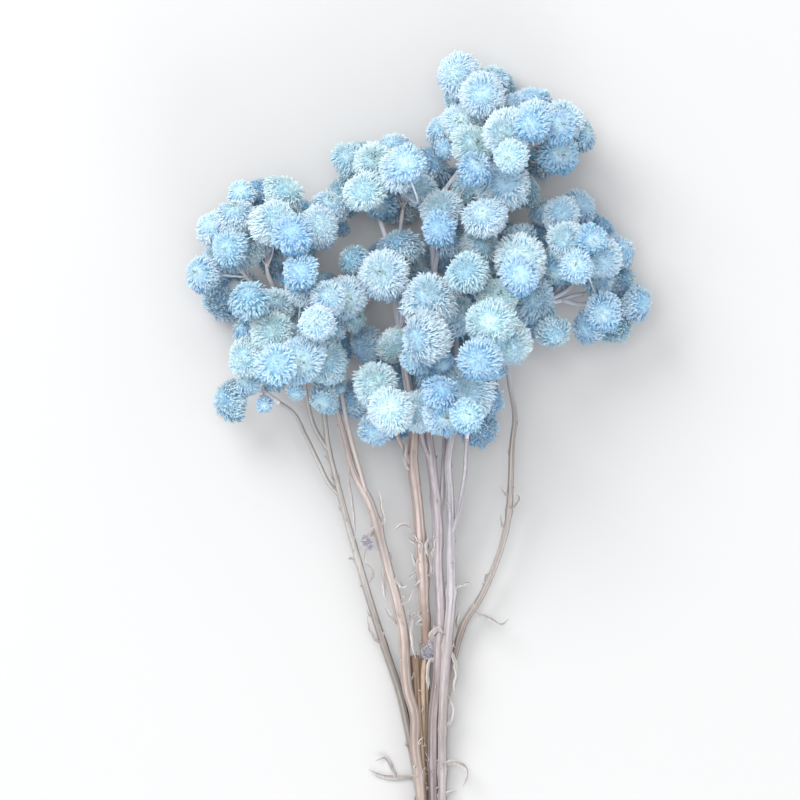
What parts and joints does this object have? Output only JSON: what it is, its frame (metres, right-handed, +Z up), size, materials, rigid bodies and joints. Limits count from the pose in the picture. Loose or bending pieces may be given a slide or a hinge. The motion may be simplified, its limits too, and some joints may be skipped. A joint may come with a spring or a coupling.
{
  "type": "bunch of dried everlasting flowers",
  "caption": "Loose bunch of dried branching stems carrying dense sprays of small double pom-pom blooms dyed pale icy blue, lying on its back.",
  "frame": {"origin": "on the flat underside of the middle stem, 15 mm above its cut end", "axes": "+Y along the bunch from the cut ends to the flowers, +X across it to the picture's right, +Z up from the surface that it lies on, towards the camera"},
  "size_m": [0.3265, 0.5801, 0.1631],
  "materials": {
    "blooms": "dry papery bracts dyed pale icy blue, paler at the tips and deeper blue at the base",
    "stems": "dry ribbed herbaceous stem, grey-beige with a pink and lilac tint, matte",
    "cut_stub": "cut brown stem, frayed, matte"
  },
  "bodies": {
    "root": {"cut_stub": "cut_stub", "spray_crown_east": "blooms", "spray_crown_front": "blooms", "spray_crown_tip": "blooms", "spray_crown_west": "blooms", "spray_left_high_east": "blooms", "spray_left_high_top": "blooms", "spray_left_high_west": "blooms", "spray_left_low_east": "blooms", "spray_left_low_foot": "blooms", "spray_left_low_middle": "blooms", "spray_left_low_stray": "blooms", "spray_left_low_west": "blooms", "spray_middle_east": "blooms", "spray_middle_heart": "blooms", "spray_middle_stray": "blooms", "spray_middle_west": "blooms", "spray_nest": "blooms", "spray_right_edge": "blooms", "spray_right_low": "blooms", "spray_right_middle": "blooms", "spray_right_top": "blooms", "spray_shoulder_east": "blooms", "spray_shoulder_west": "blooms", "spray_skirt_east": "blooms", "spray_skirt_middle": "blooms", "spray_skirt_west": "blooms", "spray_upper_east": "blooms", "spray_upper_low": "blooms", "spray_upper_west": "blooms", "stem_centre": "stems", "stem_centre_left": "stems", "stem_centre_right": "stems", "stem_left": "stems", "stem_right_inner": "stems", "stem_right_outer": "stems"}
  },
  "joints": []
}
